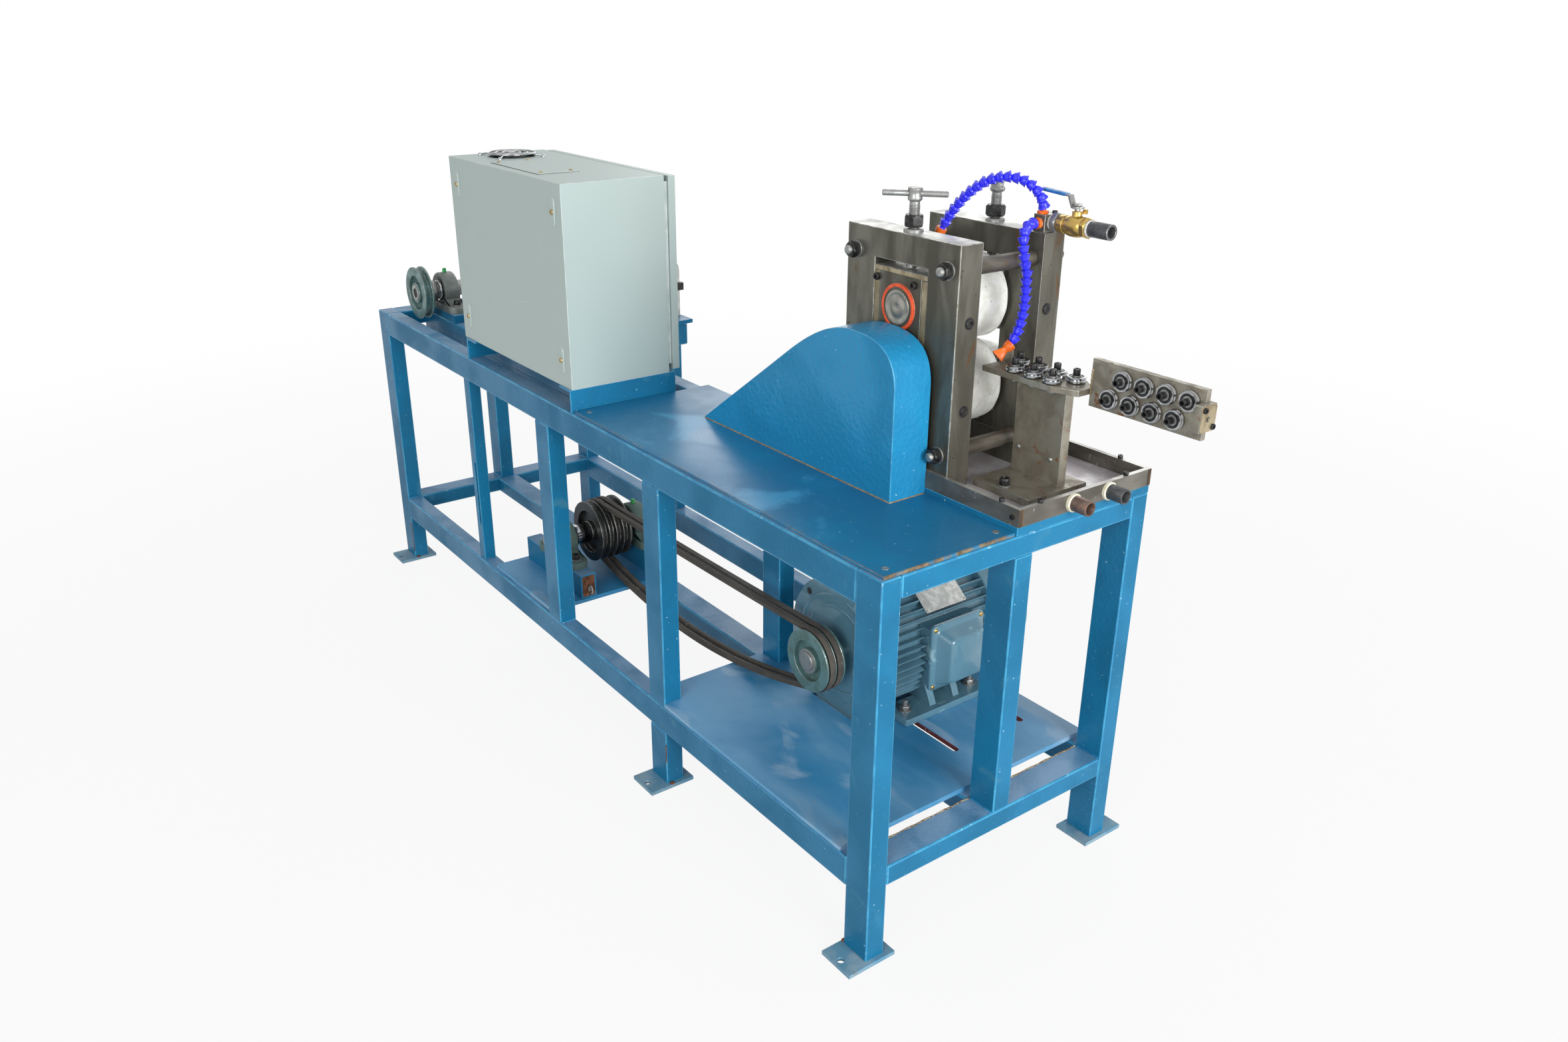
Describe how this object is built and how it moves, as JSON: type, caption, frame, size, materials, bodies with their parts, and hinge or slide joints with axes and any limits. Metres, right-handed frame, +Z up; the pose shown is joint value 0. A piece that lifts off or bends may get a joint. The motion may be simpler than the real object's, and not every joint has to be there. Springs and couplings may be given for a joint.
{
  "type": "wire flattening machine",
  "caption": "Bench-height rolling machine that flattens round wire, with a two-high mill, roller straighteners, belt drive, coolant hoses and control cabinet on a welded blue frame",
  "frame": {"origin": "on the floor, in the middle of the four corner anchor holes", "axes": "+X along the machine towards the wire inlet, +Y across it towards the cabinet door, +Z up"},
  "size_m": [2.3345, 0.754, 1.2686],
  "materials": {
    "blue_paint": "hammered enamel",
    "raw_steel": "oiled bare steel with rust tints",
    "pipe_steel": "threaded pipe",
    "black_steel": "black oxide",
    "roll_steel": "ground steel in a pale foam wrap",
    "bright_steel": "turned steel",
    "brass": "cast brass",
    "lever_paint": "vinyl coated lever",
    "hose_plastic": "moulded plastic",
    "cabinet_paint": "powder coat",
    "chrome": "plated wire",
    "motor_paint": "gloss enamel on cast iron",
    "cast_iron": "machined cast iron",
    "bearing_paint": "green grey paint on cast iron",
    "rubber": "rubber and cord"
  },
  "bodies": {
    "base": {"posts": "blue_paint", "side_rails": "blue_paint", "end_rails": "blue_paint", "foot_plates": "blue_paint", "shelf_plate": "blue_paint", "counter_plate": "blue_paint", "counter_stands": "blue_paint", "table_plate": "blue_paint", "bed_plate": "blue_paint", "tray": "raw_steel", "drain_pipes": "pipe_steel", "belt_guard": "blue_paint", "near_housing": "raw_steel", "rear_housing": "raw_steel", "tie_rods": "black_steel", "near_chocks": "raw_steel", "rear_chocks": "raw_steel", "bracket": "raw_steel", "flat_straightener": "raw_steel", "flat_rollers": "bright_steel", "edge_straightener": "raw_steel", "edge_rollers": "bright_steel", "wire_guide": "raw_steel", "manifold": "raw_steel", "valve_body": "brass", "inlet_pipe": "black_steel", "nozzle_hose": "hose_plastic", "arch_hose": "hose_plastic", "cabinet": "cabinet_paint", "cabinet_seats": "blue_paint", "fan_grille": "chrome", "motor": "motor_paint", "counter_bearings": "bearing_paint", "drive_belts": "rubber", "takeup_bearings": "bearing_paint", "guide_stand": "raw_steel"},
    "upper_roll_shaft": {"upper_roll": "roll_steel"},
    "lower_roll_shaft": {"lower_roll": "roll_steel"},
    "near_handle": {"near_screw": "bright_steel"},
    "rear_handle": {"rear_screw": "bright_steel"},
    "lever": {"valve_lever": "lever_paint"},
    "door": {"cabinet_door": "cabinet_paint"},
    "motor_shaft": {"motor_pulley": "cast_iron"},
    "countershaft": {"counter_pulley": "cast_iron"},
    "takeup_shaft": {"takeup_pulley": "cast_iron"}
  },
  "joints": [
    {"name": "door_hinge", "type": "hinge", "parent": "base", "child": "door", "pos_m": [-0.452, -0.053, 0.98], "axis": [0, 0, 1], "range_deg": [0, 90]},
    {"name": "valve_turn", "type": "hinge", "parent": "base", "child": "lever", "pos_m": [0.922, 0.198, 1.216], "axis": [0, 0, 1], "range_deg": [-90, 0]},
    {"name": "near_screw_turn", "type": "hinge", "parent": "base", "child": "near_handle", "pos_m": [0.734, 0.011, 1.2], "axis": [0, 0, 1], "range_deg": [-180, 180]},
    {"name": "rear_screw_turn", "type": "hinge", "parent": "base", "child": "rear_handle", "pos_m": [0.734, 0.204, 1.2], "axis": [0, 0, 1], "range_deg": [-180, 180]},
    {"name": "lower_roll_spin", "type": "hinge", "parent": "base", "child": "lower_roll_shaft", "pos_m": [0.734, 0, 0.891], "axis": [0, 1, 0], "continuous": true},
    {"name": "upper_roll_spin", "type": "hinge", "parent": "base", "child": "upper_roll_shaft", "pos_m": [0.734, 0, 1.045], "axis": [0, 1, 0], "continuous": true},
    {"name": "motor_spin", "type": "hinge", "parent": "base", "child": "motor_shaft", "pos_m": [0.62, 0, 0.334], "axis": [0, 1, 0], "continuous": true},
    {"name": "counter_spin", "type": "hinge", "parent": "base", "child": "countershaft", "pos_m": [-0.238, 0, 0.311], "axis": [0, 1, 0], "continuous": true},
    {"name": "takeup_spin", "type": "hinge", "parent": "base", "child": "takeup_shaft", "pos_m": [-0.887, 0, 0.801], "axis": [0, 1, 0], "continuous": true}
  ],
  "couplings": [
    {"joint": "upper_roll_spin", "follows": "lower_roll_spin", "ratio": -1},
    {"joint": "motor_spin", "follows": "counter_spin", "ratio": 1.181}
  ]
}
